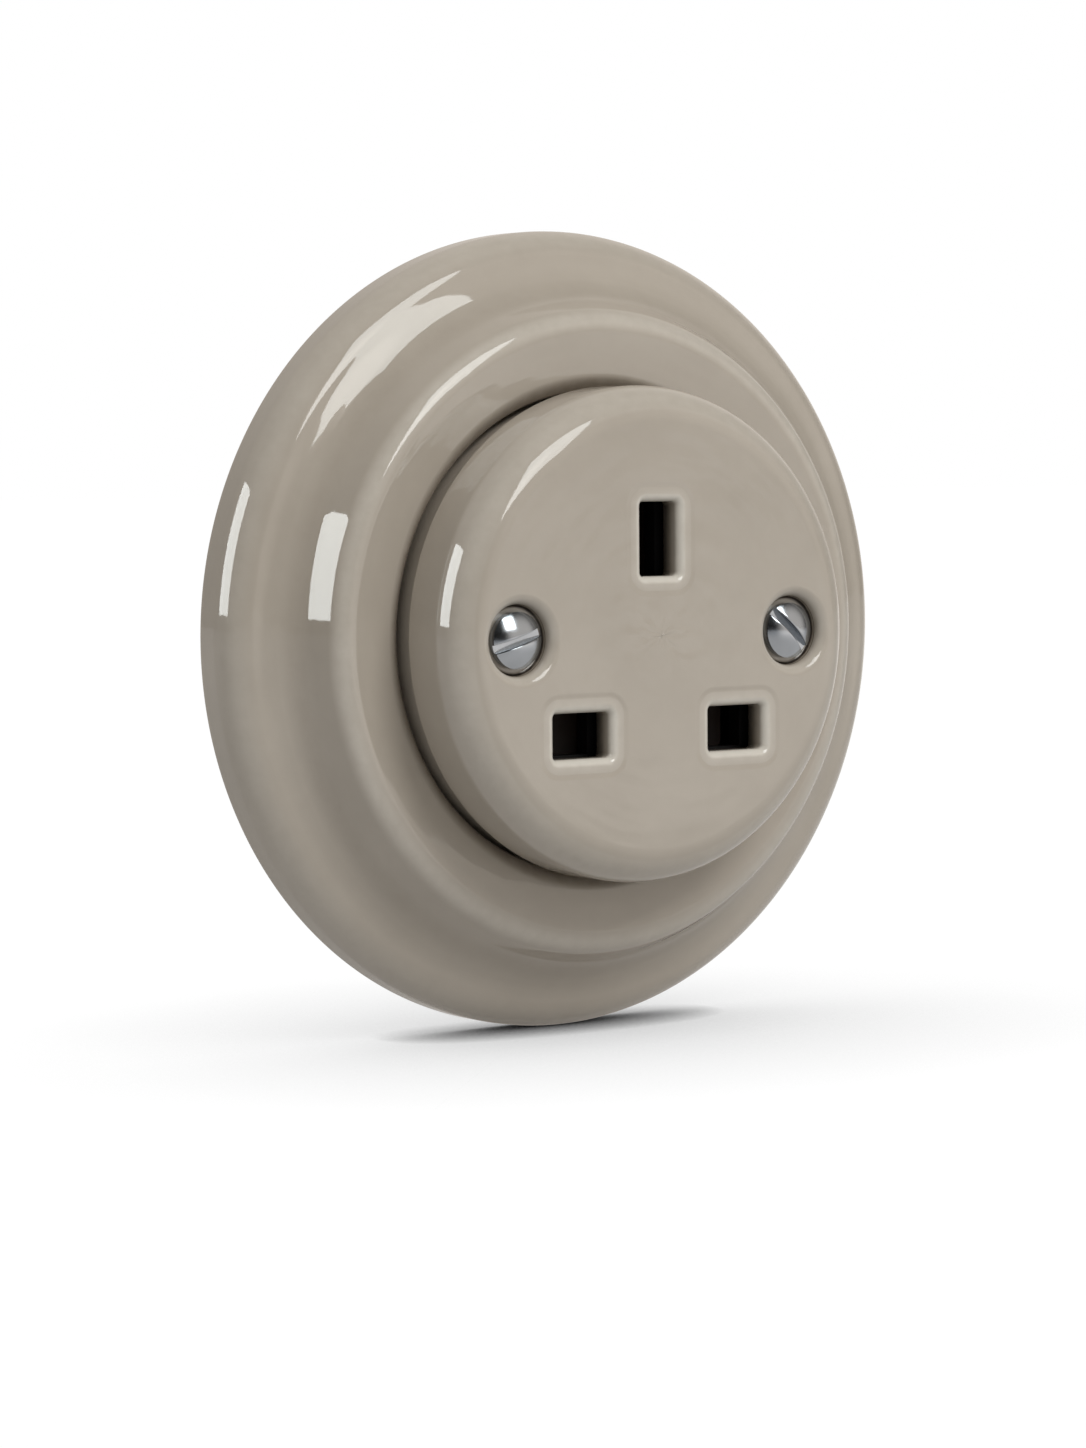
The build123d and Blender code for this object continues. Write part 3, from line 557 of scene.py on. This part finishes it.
def cover_screw(side):
    """Whole cover screw: domed and slotted head, its edge and underside, and the threaded shank."""
    x = -screw_x if side == "left" else screw_x
    surface = Surface()
    points, normals, faces, rim, rim_heights = slotted_head(x, math.radians(screw_slot_angles[side]))
    surface.add(points, normals, faces)
    chamfer = head_underside_chamfer
    radius = np.array([head_radius, head_radius, head_radius - chamfer, shank_radius])[None]
    low = recess_floor_height + np.array([chamfer, 0, 0])
    height = np.concatenate([rim_heights[:, None], low + 0 * rim[:, None]], axis=1)
    edge = placed(x + radius * np.cos(rim)[:, None], radius * np.sin(rim)[:, None], height)
    surface.add(edge, np.zeros_like(edge), grid_faces(*height.shape, True, False))
    surface.add(*threaded_shank(x, rim))
    return surface.make("cover_screw_" + side + "_threaded", screw_sharp_angle)


ring_piece = glazed_frame_ring()
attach(ring_piece, "socket")
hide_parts("frame_ring")

cover_piece = glazed_cover()
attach(cover_piece, "socket")
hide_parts("cover")

screw_pieces = [cover_screw("left"), cover_screw("right")]
for side, piece in zip(("left", "right"), screw_pieces):
    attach(piece, "socket")
    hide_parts("cover_screw_" + side)
for piece in (ring_piece, cover_piece, *screw_pieces):
    print(piece.name, sum(len(face.vertices) - 2 for face in piece.data.polygons), "triangles")


# Materials: colours, and what their shaders and bumps are set to
glaze_colours = ((0.415, 0.366, 0.303), (0.448, 0.397, 0.331))
# Pale edge colour: glaze break and painted highlight; pool colour: pooled glaze and painted shade; gap
# colour: painted shade
pale_edge_and_highlight_colour = (0.655, 0.612, 0.535)
pool_and_shade_colour = (0.26, 0.218, 0.17)
gap_shade_colour = (0.03, 0.022, 0.016)
black_tones = ((0.0045, 0.004, 0.004), (0.0065, 0.006, 0.006))
shutter_tones = ((0.010, 0.0055, 0.0035), (0.016, 0.008, 0.005))
glaze_roughness = 0.035
glaze_ior = 1.55
wave_depth = 0.00003
turning_depth = 0.00009
fine_turning_depth = 0.000006
peel_depth = 0.0000015
metal_grain_depth = 0.000002
moulding_grain_depth = 0.000006
moulding_roughness_spread = 0.06
moulding_shine = 0.22


def new_material(name):
    """Empty node material with its Principled shader and output."""
    material = bpy.data.materials.new(name)
    material.use_nodes = True
    tree = material.node_tree
    tree.nodes.clear()
    output = tree.nodes.new("ShaderNodeOutputMaterial")
    shader = tree.nodes.new("ShaderNodeBsdfPrincipled")
    tree.links.new(shader.outputs["BSDF"], output.inputs["Surface"])
    return material, tree, shader


def feed(tree, socket, value):
    """Sets an input to a number, or links it to an output."""
    if isinstance(value, (int, float)):
        socket.default_value = value
    else:
        tree.links.new(value, socket)


def combined(tree, operation, first, second):
    """Two numbers or outputs put together by a math node."""
    node = tree.nodes.new("ShaderNodeMath")
    node.operation = operation
    feed(tree, node.inputs[0], first)
    feed(tree, node.inputs[1], second)
    return node.outputs["Value"]


def picked(tree, choice, if_not, if_so):
    """Number that runs from one number or output to another as the choice goes from 0 to 1."""
    node = tree.nodes.new("ShaderNodeMapRange")
    feed(tree, node.inputs["Value"], choice)
    feed(tree, node.inputs["To Min"], if_not)
    feed(tree, node.inputs["To Max"], if_so)
    return node.outputs["Result"]


def colour_mix(tree, factor, first, second):
    """Colour that runs from the first to the second, each a colour or an output, with a factor."""
    node = tree.nodes.new("ShaderNodeMix")
    node.data_type = "RGBA"
    tree.links.new(factor, node.inputs["Factor"])
    for name, colour in (("A", first), ("B", second)):
        if isinstance(colour, tuple):
            node.inputs[name].default_value = (*colour, 1)
        else:
            tree.links.new(colour, node.inputs[name])
    return node.outputs["Result"]


def object_noise(tree, scale, detail=2.0, roughness=0.5, stretch=(1, 1, 1)):
    """Noise on Object coordinates, with a scale in features per metre."""
    where = tree.nodes.new("ShaderNodeTexCoord")
    mapping = tree.nodes.new("ShaderNodeMapping")
    mapping.inputs["Scale"].default_value = stretch
    noise = tree.nodes.new("ShaderNodeTexNoise")
    noise.inputs["Scale"].default_value = scale
    noise.inputs["Detail"].default_value = detail
    noise.inputs["Roughness"].default_value = roughness
    tree.links.new(where.outputs["Object"], mapping.inputs["Vector"])
    tree.links.new(mapping.outputs["Vector"], noise.inputs["Vector"])
    return noise.outputs["Fac"]


def bumped(tree, shader, layers):
    """Chain of bumps, each a height field and the depth in metres that its full range stands for."""
    normal = None
    for height, depth in layers:
        bump = tree.nodes.new("ShaderNodeBump")
        bump.inputs["Strength"].default_value = 1.0
        bump.inputs["Distance"].default_value = depth
        tree.links.new(height, bump.inputs["Height"])
        if normal is not None:
            tree.links.new(normal, bump.inputs["Normal"])
        normal = bump.outputs["Normal"]
    tree.links.new(normal, shader.inputs["Normal"])


def between(tree, factor, low, high):
    """Colour that runs from low to high with a factor."""
    ramp = tree.nodes.new("ShaderNodeValToRGB")
    ramp.color_ramp.elements[0].color = (*low, 1)
    ramp.color_ramp.elements[1].color = (*high, 1)
    ramp.color_ramp.elements[0].position = 0.3
    ramp.color_ramp.elements[1].position = 0.7
    tree.links.new(factor, ramp.inputs["Fac"])
    return ramp.outputs["Color"]


def smooth_range(tree, value, from_low, from_high, low, high):
    """Number that runs smoothly from low to high as a value runs from from_low to from_high."""
    spread = tree.nodes.new("ShaderNodeMapRange")
    spread.interpolation_type = "SMOOTHSTEP"
    limits = (("From Min", from_low), ("From Max", from_high), ("To Min", low), ("To Max", high))
    for name, limit in limits:
        feed(tree, spread.inputs[name], limit)
    tree.links.new(value, spread.inputs["Value"])
    return spread.outputs["Result"]


def turning_marks(tree, scale, around):
    """Noise in rings round the middle, as throwing leaves them: over the distance, and slowly round it."""
    where = tree.nodes.new("ShaderNodeTexCoord")
    steps = []
    for operation in ("MULTIPLY", "LENGTH", "NORMALIZE", "SCALE", "ADD"):
        step = tree.nodes.new("ShaderNodeVectorMath")
        step.operation = operation
        steps.append(step)
    flat, length, direction, scaled, total = steps
    flat.inputs[1].default_value = (1, 0, 1)
    scaled.inputs["Scale"].default_value = around
    outward = tree.nodes.new("ShaderNodeCombineXYZ")
    noise = tree.nodes.new("ShaderNodeTexNoise")
    noise.inputs["Scale"].default_value = scale
    noise.inputs["Detail"].default_value = 1.0
    tree.links.new(where.outputs["Object"], flat.inputs[0])
    tree.links.new(flat.outputs["Vector"], length.inputs[0])
    tree.links.new(flat.outputs["Vector"], direction.inputs[0])
    tree.links.new(direction.outputs["Vector"], scaled.inputs[0])
    tree.links.new(length.outputs["Value"], outward.inputs["Y"])
    tree.links.new(scaled.outputs["Vector"], total.inputs[0])
    tree.links.new(outward.outputs["Vector"], total.inputs[1])
    tree.links.new(total.outputs["Vector"], noise.inputs["Vector"])
    return noise.outputs["Fac"]


def glaze_material():
    """Taupe glaze, a little wavy: pale where it breaks over edges, with painted highlights there; dark where
    it pools, with painted shade in hollows, under the cover and in slots; painted shade darkest in gaps.
    """
    material, tree, shader = new_material("taupe_glaze")
    colour = between(tree, object_noise(tree, 90, 5, 0.6), *glaze_colours)
    break_and_light = tree.nodes.new("ShaderNodeAttribute")
    break_and_light.attribute_name = "glaze_break_and_painted_light"
    uneven = picked(tree, object_noise(tree, 700, 2), 0.7, 1.3)
    amount = combined(tree, "MULTIPLY", break_and_light.outputs["Fac"], uneven)
    # Tones: pale edges are glaze break and painted highlight, pools are pooled glaze and painted shade, gaps
    # are painted shade
    tones = ((0, 1, pale_edge_and_highlight_colour), (0, -1, pool_and_shade_colour), (-1, -2, gap_shade_colour))
    for low, high, tone in tones:
        colour = colour_mix(tree, smooth_range(tree, amount, low, high, 0, 1), colour, tone)
    tree.links.new(colour, shader.inputs["Base Color"])
    shader.inputs["Roughness"].default_value = glaze_roughness
    shader.inputs["IOR"].default_value = glaze_ior
    layers = [
        (object_noise(tree, 70, 1.5), wave_depth),
        (turning_marks(tree, 380, 0.006), turning_depth),
        (turning_marks(tree, 1500, 0.004), fine_turning_depth),
        (object_noise(tree, 900, 2), peel_depth),
    ]
    bumped(tree, shader, layers)
    return material


def metal(name, colour, smoothest, roughest, scale, stretch=(1, 1, 1)):
    """Metal whose roughness and finest relief follow one noise."""
    material, tree, shader = new_material(name)
    grain = object_noise(tree, scale, 4, 0.6, stretch)
    blotch = object_noise(tree, scale / 12, 2)
    darker = tuple(0.86 * part for part in colour)
    tree.links.new(between(tree, blotch, darker, colour), shader.inputs["Base Color"])
    shader.inputs["Metallic"].default_value = 1.0
    tree.links.new(picked(tree, grain, smoothest, roughest), shader.inputs["Roughness"])
    bumped(tree, shader, [(grain, metal_grain_depth)])
    return material


def moulding(name, tones, roughness):
    """Moulded thermoset: nearly flat colour with faint flow clouds and a fine eggshell surface."""
    material, tree, shader = new_material(name)
    clouds = object_noise(tree, 160, 3)
    tree.links.new(between(tree, clouds, *tones), shader.inputs["Base Color"])
    grain = object_noise(tree, 2600, 2)
    spread = moulding_roughness_spread
    tree.links.new(picked(tree, grain, roughness - spread, roughness + spread), shader.inputs["Roughness"])
    shader.inputs["Specular IOR Level"].default_value = moulding_shine
    bumped(tree, shader, [(grain, moulding_grain_depth)])
    return material


glaze = glaze_material()
finishes = {
    "glaze": glaze,
    "plated_screw": metal("plated_screw_head", (0.375, 0.4, 0.43), 0.1, 0.22, 3000),
    "zinc_steel": metal("zinc_plated_steel", (0.5, 0.51, 0.53), 0.28, 0.45, 1400),
    "spring_steel": metal("drawn_spring_wire", (0.42, 0.42, 0.43), 0.22, 0.34, 5000),
    "brass": metal("machined_brass", (0.62, 0.46, 0.2), 0.2, 0.34, 2200, (1, 6, 1)),
    "contact_brass": metal("rolled_brass_strip", (0.6, 0.42, 0.2), 0.24, 0.38, 1800, (6, 1, 1)),
    "black_moulding": moulding("black_moulding_eggshell", black_tones, 0.45),
    "shutter_moulding": moulding("dark_brown_shutter", shutter_tones, 0.5),
}
for row in frame["record"]["subparts"]:
    for slot in frame["nodes"][row["node"]].material_slots:
        slot.material = finishes[row["material_slot"]]
for piece in (ring_piece, cover_piece):
    piece.data.materials.append(glaze)
for piece in screw_pieces:
    piece.data.materials.append(finishes["plated_screw"])


# Camera, matched to the photograph: the view's direction and distance, and the part's place in the frame
camera_azimuth = math.radians(-35.62)
camera_elevation = math.radians(3.67)
camera_roll = math.radians(-0.40)
camera_distance = 497.1
camera_focal_pixels = 4154.9
image_height = 1448
camera_right_shift = 0.485
camera_up_shift = -11.33


def make_camera():
    """Camera with the photograph's view: its axes turned to the azimuth and elevation, then rolled."""
    a, e = camera_azimuth, camera_elevation
    back = Vector((math.sin(a) * math.cos(e), -math.cos(a) * math.cos(e), math.sin(e)))
    right = Vector((math.cos(a), math.sin(a), 0))
    up = back.cross(right)
    camera = bpy.data.objects.new("camera", bpy.data.cameras.new("camera"))
    camera.data.sensor_width = 36
    camera.data.lens = camera_focal_pixels / image_height * camera.data.sensor_width
    place = (back * camera_distance + right * camera_right_shift + up * camera_up_shift) * MM
    axes = Matrix((right, up, back)).transposed().to_4x4()
    camera.matrix_world = Matrix.Translation(place) @ axes @ Matrix.Rotation(camera_roll, 4, "Z")
    bpy.context.scene.collection.objects.link(camera)
    bpy.context.scene.camera = camera


make_camera()


# Stage: a white floor under the ring's rim, two softboxes that glossy surfaces mirror, a lamp that only
# lights, and a studio that is white behind the part
floor_half_width = 6.0
floor_bounce = 0.5
floor_shade = 0.02
floor_shadows = ((0.006, 1.1), (0.05, 0.4))
sheet_near = 0.08
sheet_far = 0.4
soft_even = 0.51
soft_front = 0.16
white = (1.0, 1.0, 1.0)
mirror_colour = (1.06, 0.97, 0.88)
mirror_floor = 0.34
mirror_front = 0.02
mirror_back = 0.65
softbox_colour = (0.96, 1.0, 0.99)

# Glows on the walls: azimuth and elevation, the angles it is whole within and gone past, and its strength
right_wall_glow = ((38, 5), 18, 45, 0.87)
softbox_core_glow = ((5, 27), 2, 12, 1.5)

# Lamps: name, direction, distance, width, height, radiance, and whether glossy surfaces mirror it
front_softbox = ("front_softbox", (10, 33), 1.2, 0.49, 0.56, 5.6, True)
left_strip = ("left_strip", (-100, 18), 1.0, 0.6, 0.52, 9, True)
key_light = ("key_light", (15, 45), 1.2, 0.5, 0.5, 8.6, False)


def seen_directly(tree):
    """Outputs that are 1 for rays that show a thing itself, and 1 for rays that glossy surfaces mirror."""
    path = tree.nodes.new("ShaderNodeLightPath").outputs
    seen = combined(tree, "MAXIMUM", path["Is Camera Ray"], path["Is Transmission Ray"])
    return seen, path["Is Glossy Ray"]


def towards(azimuth, elevation):
    """Direction from the part at an azimuth, from -Y towards +X, and an elevation, in degrees."""
    a, e = math.radians(azimuth), math.radians(elevation)
    return Vector((math.sin(a) * math.cos(e), -math.cos(a) * math.cos(e), math.sin(e)))


def glow_from(tree, direction, centre, inner, outer, strength):
    """Glow of a strength round a direction, whole within the inner angle and gone past the outer one."""
    along = tree.nodes.new("ShaderNodeVectorMath")
    along.operation = "DOT_PRODUCT"
    along.inputs[1].default_value = centre
    tree.links.new(direction, along.inputs[0])
    edges = math.cos(math.radians(outer)), math.cos(math.radians(inner))
    return smooth_range(tree, along.outputs["Value"], *edges, 0, strength)


def mirrored_walls(tree, direction):
    """What glossy surfaces see of the studio in a direction: dim in front, bright behind, and two glows."""
    parts = tree.nodes.new("ShaderNodeSeparateXYZ")
    tree.links.new(direction, parts.inputs["Vector"])
    walls = smooth_range(tree, parts.outputs["Y"], 0.0, 0.6, mirror_front, mirror_back)
    for centre, inner, outer, strength in (right_wall_glow, softbox_core_glow):
        glow = glow_from(tree, direction, towards(*centre), inner, outer, strength)
        walls = combined(tree, "ADD", walls, glow)
    return walls


def shadow_of_part(tree):
    """Share of the studio that the floor sees past the part: a tight contact shade times a wide one."""
    shades = []
    for reach, depth in floor_shadows:
        open_sky = tree.nodes.new("ShaderNodeAmbientOcclusion")
        open_sky.samples = 4
        open_sky.inputs["Distance"].default_value = reach
        shades.append(combined(tree, "POWER", open_sky.outputs["AO"], depth))
    return combined(tree, "MULTIPLY", *shades)


def make_floor():
    """White sweep under the ring's rim. It shows white, darkened where the part hides the studio from it.

    Glossy surfaces mirror the lit sheet near the part and the studio's walls further off.
    """
    mesh = bpy.data.meshes.new("floor")
    z = -frame_radius * MM
    half = floor_half_width
    corners = [(-half, -half, z), (half, -half, z), (half, half, z), (-half, half, z)]
    mesh.from_pydata(corners, [], [(0, 1, 2, 3)])
    floor = bpy.data.objects.new("floor", mesh)
    bpy.context.scene.collection.objects.link(floor)
    material, tree, shader = new_material("white_sweep")
    seen, mirrored = seen_directly(tree)
    grey = colour_mix(tree, seen, (floor_bounce,) * 3, (floor_shade,) * 3)
    tree.links.new(grey, shader.inputs["Base Color"])
    shader.inputs["Roughness"].default_value = 1.0
    shader.inputs["Specular IOR Level"].default_value = 0.0
    where = tree.nodes.new("ShaderNodeTexCoord").outputs["Object"]
    away = tree.nodes.new("ShaderNodeVectorMath")
    away.operation = "LENGTH"
    tree.links.new(where, away.inputs[0])
    outward = tree.nodes.new("ShaderNodeVectorMath")
    outward.operation = "NORMALIZE"
    tree.links.new(where, outward.inputs[0])
    walls = mirrored_walls(tree, outward.outputs["Vector"])
    sheet = smooth_range(tree, away.outputs["Value"], sheet_near, sheet_far, mirror_floor, walls)
    glow = picked(tree, seen, combined(tree, "MULTIPLY", mirrored, sheet), shadow_of_part(tree))
    tree.links.new(colour_mix(tree, mirrored, white, mirror_colour), shader.inputs["Emission Color"])
    tree.links.new(glow, shader.inputs["Emission Strength"])
    mesh.materials.append(material)


def softbox(name, direction, distance, width, height, radiance, mirrored):
    """Area lamp facing the part: one that glossy surfaces mirror, or one that only lights."""
    lamp = bpy.data.lights.new(name, "AREA")
    lamp.shape = "RECTANGLE"
    lamp.size = width
    lamp.size_y = height
    lamp.energy = radiance * math.pi * width * height
    if mirrored:
        lamp.color = softbox_colour
    box = bpy.data.objects.new(name, lamp)
    box.rotation_euler = towards(*direction).to_track_quat("Z", "Y").to_euler()
    box.location = towards(*direction) * distance
    box.visible_diffuse = not mirrored
    box.visible_glossy = mirrored
    bpy.context.scene.collection.objects.link(box)


def make_surround():
    """Studio: white to the camera, soft light from all round, and walls that glossy surfaces mirror."""
    world = bpy.data.worlds.new("studio")
    world.use_nodes = True
    bpy.context.scene.world = world
    tree = world.node_tree
    background = tree.nodes["Background"]
    seen, mirrored = seen_directly(tree)
    tree.links.new(colour_mix(tree, mirrored, white, mirror_colour), background.inputs["Color"])
    direction = tree.nodes.new("ShaderNodeTexCoord").outputs["Generated"]
    parts = tree.nodes.new("ShaderNodeSeparateXYZ")
    tree.links.new(direction, parts.inputs["Vector"])
    light = tree.nodes.new("ShaderNodeMapRange")
    light.inputs["From Max"].default_value = -1.0
    light.inputs["To Min"].default_value = soft_even
    light.inputs["To Max"].default_value = soft_even + soft_front
    tree.links.new(parts.outputs["Y"], light.inputs["Value"])
    indirect = picked(tree, mirrored, light.outputs["Result"], mirrored_walls(tree, direction))
    tree.links.new(picked(tree, seen, indirect, 1.0), background.inputs["Strength"])


make_floor()
make_surround()
for placing in (front_softbox, left_strip, key_light):
    softbox(*placing)

bpy.context.scene.view_settings.view_transform = "Standard"
